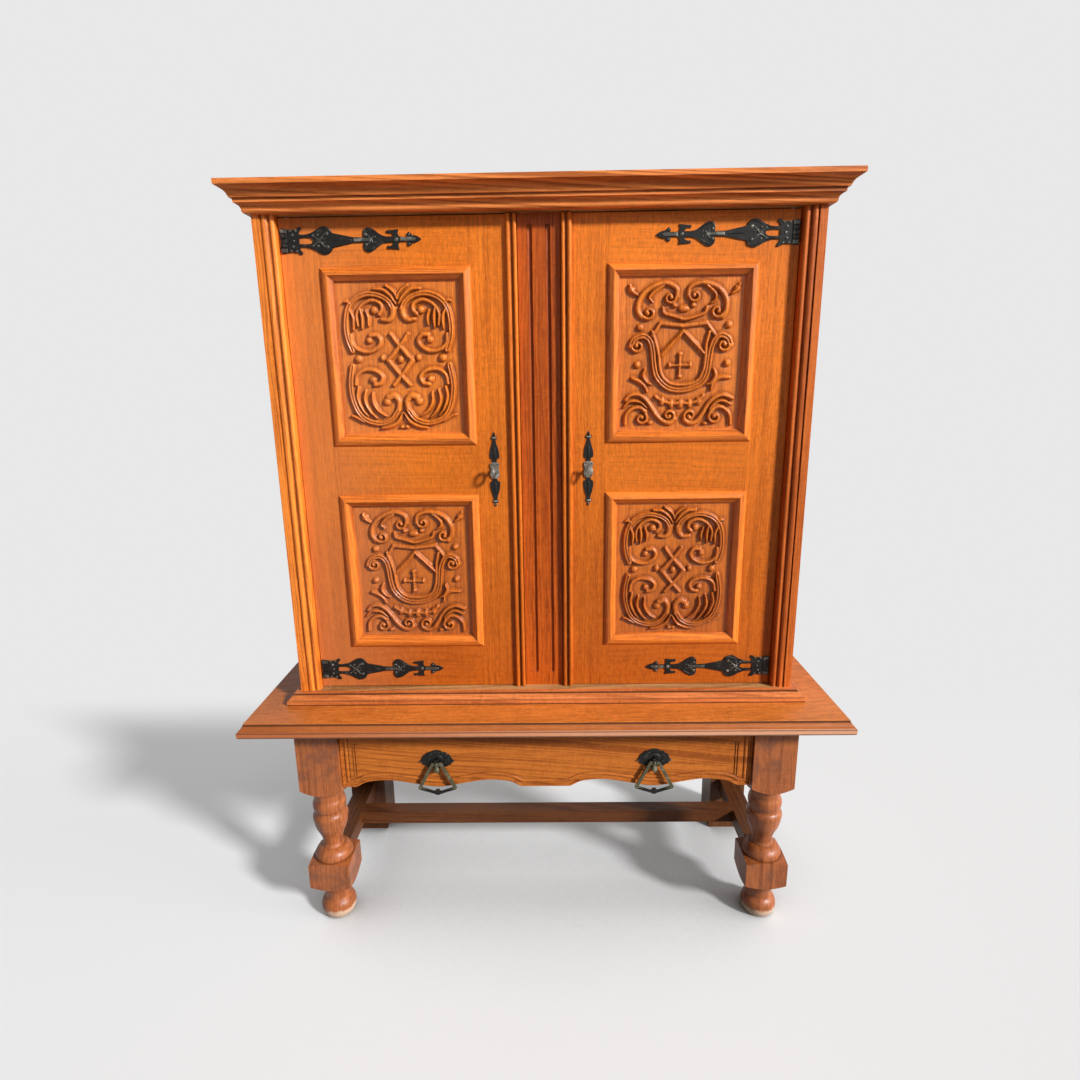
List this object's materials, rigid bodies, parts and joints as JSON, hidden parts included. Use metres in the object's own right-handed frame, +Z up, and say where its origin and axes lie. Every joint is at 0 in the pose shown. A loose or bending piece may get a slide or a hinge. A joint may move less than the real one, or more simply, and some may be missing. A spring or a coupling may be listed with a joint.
{
  "type": "carved cabinet on stand",
  "caption": "Carved oak cupboard with relief-panelled doors and iron straps, on a turned-leg stand with a scalloped drawer, drop pulls and an H-stretcher.",
  "frame": {"origin": "on the floor, under the middle of the table top", "axes": "+Z up, front faces -Y, +X to the right as seen from the front"},
  "size_m": [1.24, 0.491, 1.547],
  "materials": {
    "oak": "satin varnished honey oak with dark pores and ray fleck",
    "mullion_oak": "satin varnished oak, stained a darker red brown",
    "inside_oak": "plain unvarnished oak and oak-faced board",
    "black_iron": "blackened forged iron with rubbed pewter highlights",
    "steel": "dull steel lock parts"
  },
  "bodies": {
    "stand_and_carcass": {"table_top": "oak", "front_leg_left": "oak", "front_leg_right": "oak", "rear_leg_left": "oak", "rear_leg_right": "oak", "side_stretchers": "oak", "long_stretcher": "oak", "side_aprons": "oak", "back_apron": "oak", "drawer_runners": "inside_oak", "drawer_kickers": "inside_oak", "cabinet_floor": "inside_oak", "cabinet_top": "inside_oak", "side_panel_left": "oak", "side_panel_right": "oak", "back_panel": "inside_oak", "front_post_left": "oak", "front_post_right": "oak", "centre_mullion": "mullion_oak", "mullion_stop": "inside_oak", "plinth_moulding": "oak", "cornice_front": "oak", "cornice_returns": "oak", "cornice_back_rail": "inside_oak", "dust_board": "inside_oak", "shelves": "inside_oak", "shelf_cleats": "inside_oak", "pivot_pins": "steel"},
    "door_left": {"stiles_left": "oak", "rails_left": "oak", "panel_upper_left": "oak", "panel_lower_left": "oak", "panel_mouldings_left": "oak", "bead_strip_left": "oak", "hinge_straps_left": "black_iron", "escutcheon_left": "black_iron", "pivot_sockets_left": "steel", "lock_case_left": "steel"},
    "door_right": {"stiles_right": "oak", "rails_right": "oak", "panel_upper_right": "oak", "panel_lower_right": "oak", "panel_mouldings_right": "oak", "bead_strip_right": "oak", "hinge_straps_right": "black_iron", "escutcheon_right": "black_iron", "pivot_sockets_right": "steel", "lock_case_right": "steel"},
    "bolt_left": {"lock_bolt_left": "steel"},
    "bolt_right": {"lock_bolt_right": "steel"},
    "key_left": {"key_left": "steel"},
    "key_right": {"key_right": "steel"},
    "drawer": {"drawer_front": "oak", "drawer_sides": "inside_oak", "drawer_back": "inside_oak", "drawer_bottom": "inside_oak", "pull_plates": "black_iron", "pull_studs": "black_iron"},
    "bail_left": {"bail_left": "black_iron"},
    "bail_right": {"bail_right": "black_iron"}
  },
  "joints": [
    {"name": "door_left_swing", "type": "hinge", "parent": "stand_and_carcass", "child": "door_left", "pos_m": [-0.468, -0.11, 0.556], "axis": [0, 0, -1], "range_deg": [0, 95]},
    {"name": "door_right_swing", "type": "hinge", "parent": "stand_and_carcass", "child": "door_right", "pos_m": [0.468, -0.11, 0.556], "axis": [0, 0, 1], "range_deg": [0, 95]},
    {"name": "drawer_slide", "type": "slide", "parent": "stand_and_carcass", "child": "drawer", "axis": [0, -1, 0], "range_m": [0, 0.25]},
    {"name": "bail_left_swing", "type": "hinge", "parent": "drawer", "child": "bail_left", "pos_m": [-0.232, -0.1815, 0.413], "axis": [-1, 0, 0], "range_deg": [0, 80]},
    {"name": "bail_right_swing", "type": "hinge", "parent": "drawer", "child": "bail_right", "pos_m": [0.232, -0.1815, 0.413], "axis": [-1, 0, 0], "range_deg": [0, 80]},
    {"name": "key_left_turn", "type": "hinge", "parent": "door_left", "child": "key_left", "pos_m": [-0.0937, -0.115, 1.023], "axis": [0, 1, 0], "range_deg": [0, 90]},
    {"name": "key_right_turn", "type": "hinge", "parent": "door_right", "child": "key_right", "pos_m": [0.0937, -0.115, 1.023], "axis": [0, -1, 0], "range_deg": [0, 90]},
    {"name": "bolt_left_throw", "type": "slide", "parent": "door_left", "child": "bolt_left", "axis": [1, 0, 0], "range_m": [0, 0.012]},
    {"name": "bolt_right_throw", "type": "slide", "parent": "door_right", "child": "bolt_right", "axis": [-1, 0, 0], "range_m": [0, 0.012]}
  ],
  "couplings": [
    {"joint": "key_left_turn", "follows": "bolt_left_throw", "rad_per_m": 130.9},
    {"joint": "key_right_turn", "follows": "bolt_right_throw", "rad_per_m": 130.9}
  ]
}
